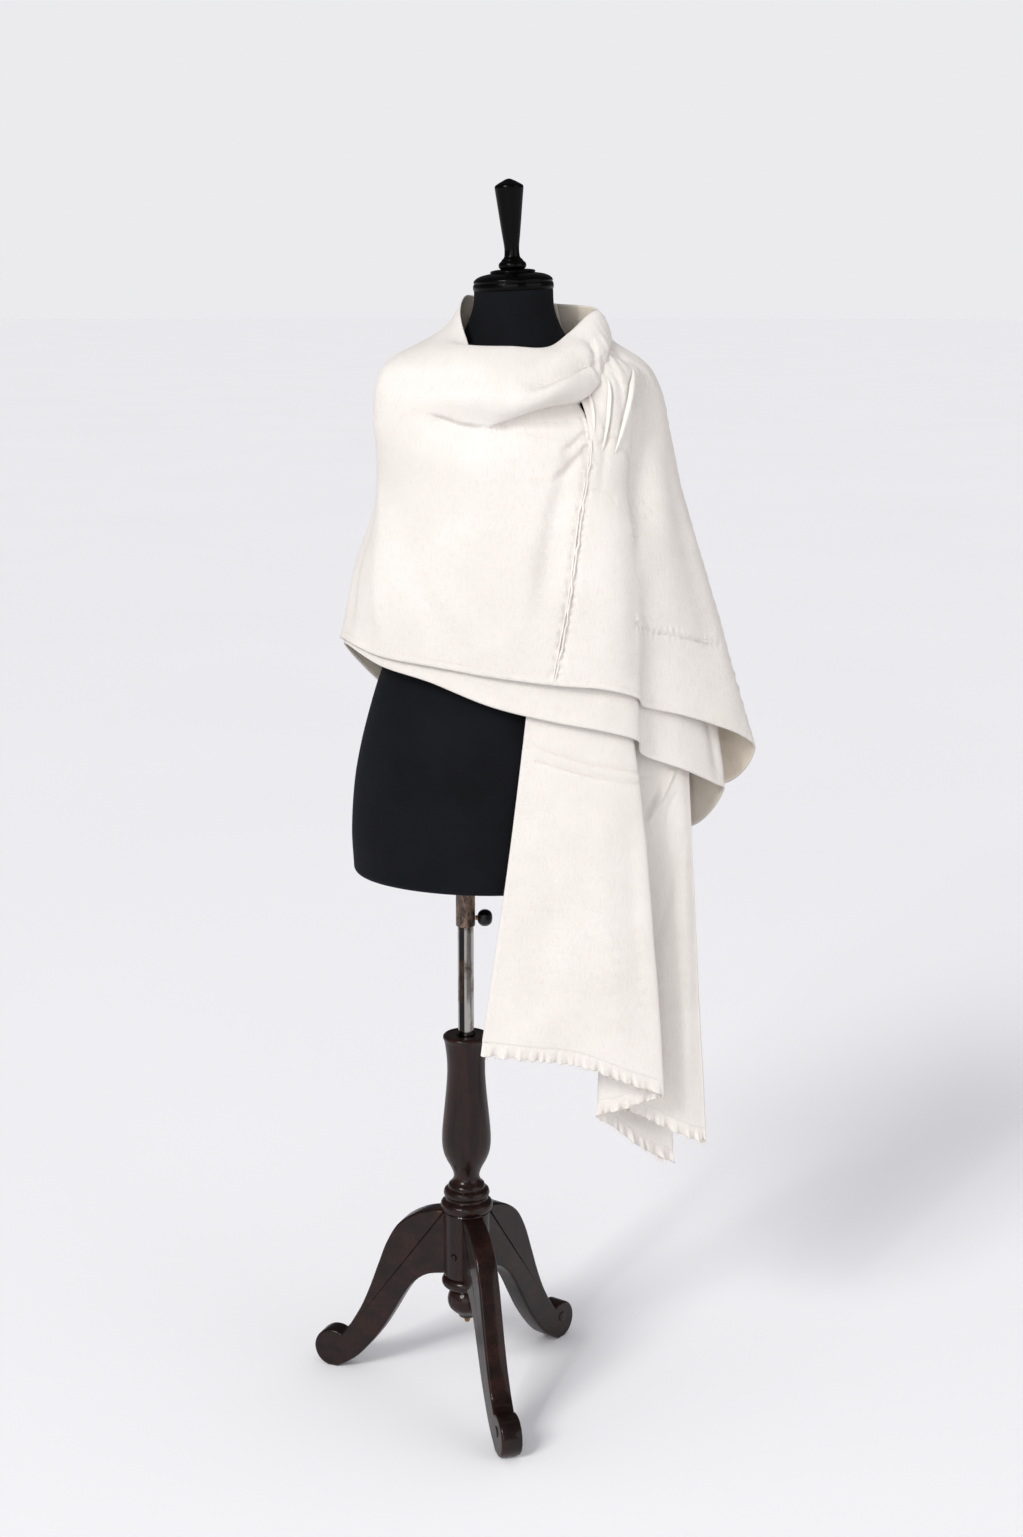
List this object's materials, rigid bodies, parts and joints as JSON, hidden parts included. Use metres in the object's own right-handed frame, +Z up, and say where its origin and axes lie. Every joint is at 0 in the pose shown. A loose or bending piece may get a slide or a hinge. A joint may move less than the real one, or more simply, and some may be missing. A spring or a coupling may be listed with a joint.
{
  "type": "wool shawl on dress form",
  "caption": "Cream wool shawl draped off-centre with a cowl neck and frilled hanging ends, on a limbless dress form with an adjustable pole and a tripod base.",
  "frame": {"origin": "on the floor under the middle of the whole object's box", "axes": "+Z up, the front of the shawl towards -Y, the long hanging ends towards +X"},
  "size_m": [0.6078, 0.417, 1.6498],
  "materials": {
    "wool": "matt, fine plain weave",
    "jersey": "matt black jersey",
    "lacquer": "black gloss lacquer",
    "mahogany": "dark polished mahogany",
    "chrome": "polished",
    "bronze": "worn brown bronze",
    "knob_plastic": "black, slightly worn",
    "brass": "aged"
  },
  "bodies": {
    "base": {"pedestal": "mahogany", "drum": "mahogany", "pendant": "mahogany", "pendant_tip": "brass", "peg_1": "mahogany", "peg_2": "mahogany", "peg_3": "mahogany", "leg_1": "mahogany", "leg_2": "mahogany", "leg_3": "mahogany"},
    "pole": {"pole": "chrome"},
    "form": {"dress_form": "jersey", "sleeve": "bronze", "neck_cap": "lacquer", "finial": "lacquer", "front_panel": "wool", "shoulder_panel": "wool", "back_panel": "wool", "under_front": "wool", "under_back": "wool", "cowl": "wool", "collar_back": "wool", "collar_fold": "wool", "tail_a": "wool", "tail_a_fringe": "wool", "tail_b": "wool", "tail_b_fringe": "wool", "pin_tuck_1": "wool", "pin_tuck_2": "wool", "pin_tuck_3": "wool", "seam_strip": "wool"},
    "knob": {"clamp_knob": "knob_plastic"}
  },
  "joints": [
    {"name": "form_turn", "type": "hinge", "parent": "base", "child": "pole", "pos_m": [-0.08307, 0.01754, 0.5], "axis": [0, 0, 1], "continuous": true},
    {"name": "form_height", "type": "slide", "parent": "pole", "child": "form", "axis": [0, 0, 1], "range_m": [-0.11, 0.2]},
    {"name": "knob_turn", "type": "hinge", "parent": "form", "child": "knob", "pos_m": [-0.08307, 0.01754, 0.682], "axis": [1, 0, 0], "range_deg": [-30, 360]}
  ]
}
